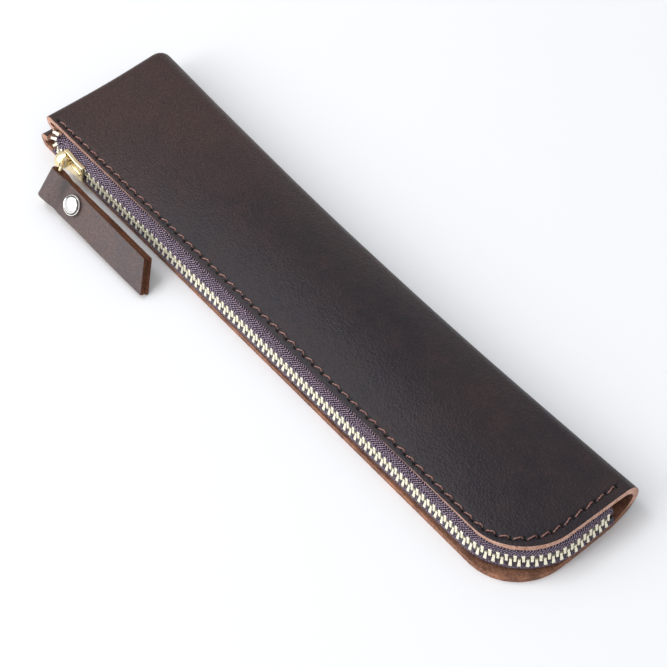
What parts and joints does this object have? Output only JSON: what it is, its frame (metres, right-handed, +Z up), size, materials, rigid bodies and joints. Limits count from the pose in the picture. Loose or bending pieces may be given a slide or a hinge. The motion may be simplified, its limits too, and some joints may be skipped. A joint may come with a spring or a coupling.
{
  "type": "pencil case",
  "caption": "Slim leather pencil case folded from one sheet, with a metal zip along its front and round one corner, and a riveted leather pull tab.",
  "frame": {"origin": "middle of the underside of the bottom panel, on the table", "axes": "+X along the case from the turned end seam to the rounded end, +Y from the zip to the fold at the back, +Z up"},
  "size_m": [0.203, 0.0593, 0.0154],
  "materials": {
    "body_leather": "waxed dark brown leather with tan cut edges and a suede inside",
    "tab_leather": "dark brown leather with rusty cut edges",
    "zip_tape": "woven aubergine polyester tape",
    "teeth_brass": "polished pale brass",
    "slider_gold": "polished pale gold plate",
    "rivet_nickel": "polished nickel plate",
    "seam_thread": "pinkish brown sewing thread"
  },
  "bodies": {
    "case": {"leather_body": "body_leather", "upper_tape": "zip_tape", "lower_tape": "zip_tape", "upper_teeth": "teeth_brass", "lower_teeth": "teeth_brass", "upper_needle_thread": "seam_thread", "upper_bobbin_thread": "seam_thread", "lower_needle_thread": "seam_thread", "lower_bobbin_thread": "seam_thread", "end_needle_thread": "seam_thread", "end_bobbin_thread": "seam_thread"},
    "slider": {"slider_body": "slider_gold", "slider_bail": "slider_gold"},
    "link": {"pull_link": "slider_gold"},
    "tab": {"pull_tab": "tab_leather", "rivet_cap": "rivet_nickel", "rivet_base": "rivet_nickel"}
  },
  "joints": [
    {"name": "slider_slide", "type": "slide", "parent": "case", "child": "slider", "axis": [1, 0.0096, 0], "range_m": [0, 0.16], "deforming": ["upper_teeth", "lower_teeth"]},
    {"name": "link_swing", "type": "hinge", "parent": "slider", "child": "link", "pos_m": [-0.08597, -0.02367, 0.00689], "axis": [-0.0145, -0.6498, -0.76], "range_deg": [0, 80]},
    {"name": "tab_swing", "type": "hinge", "parent": "link", "child": "tab", "pos_m": [-0.0814, -0.0303, 0.0062], "axis": [-0.0145, -0.6498, -0.76], "range_deg": [0, 90]}
  ]
}
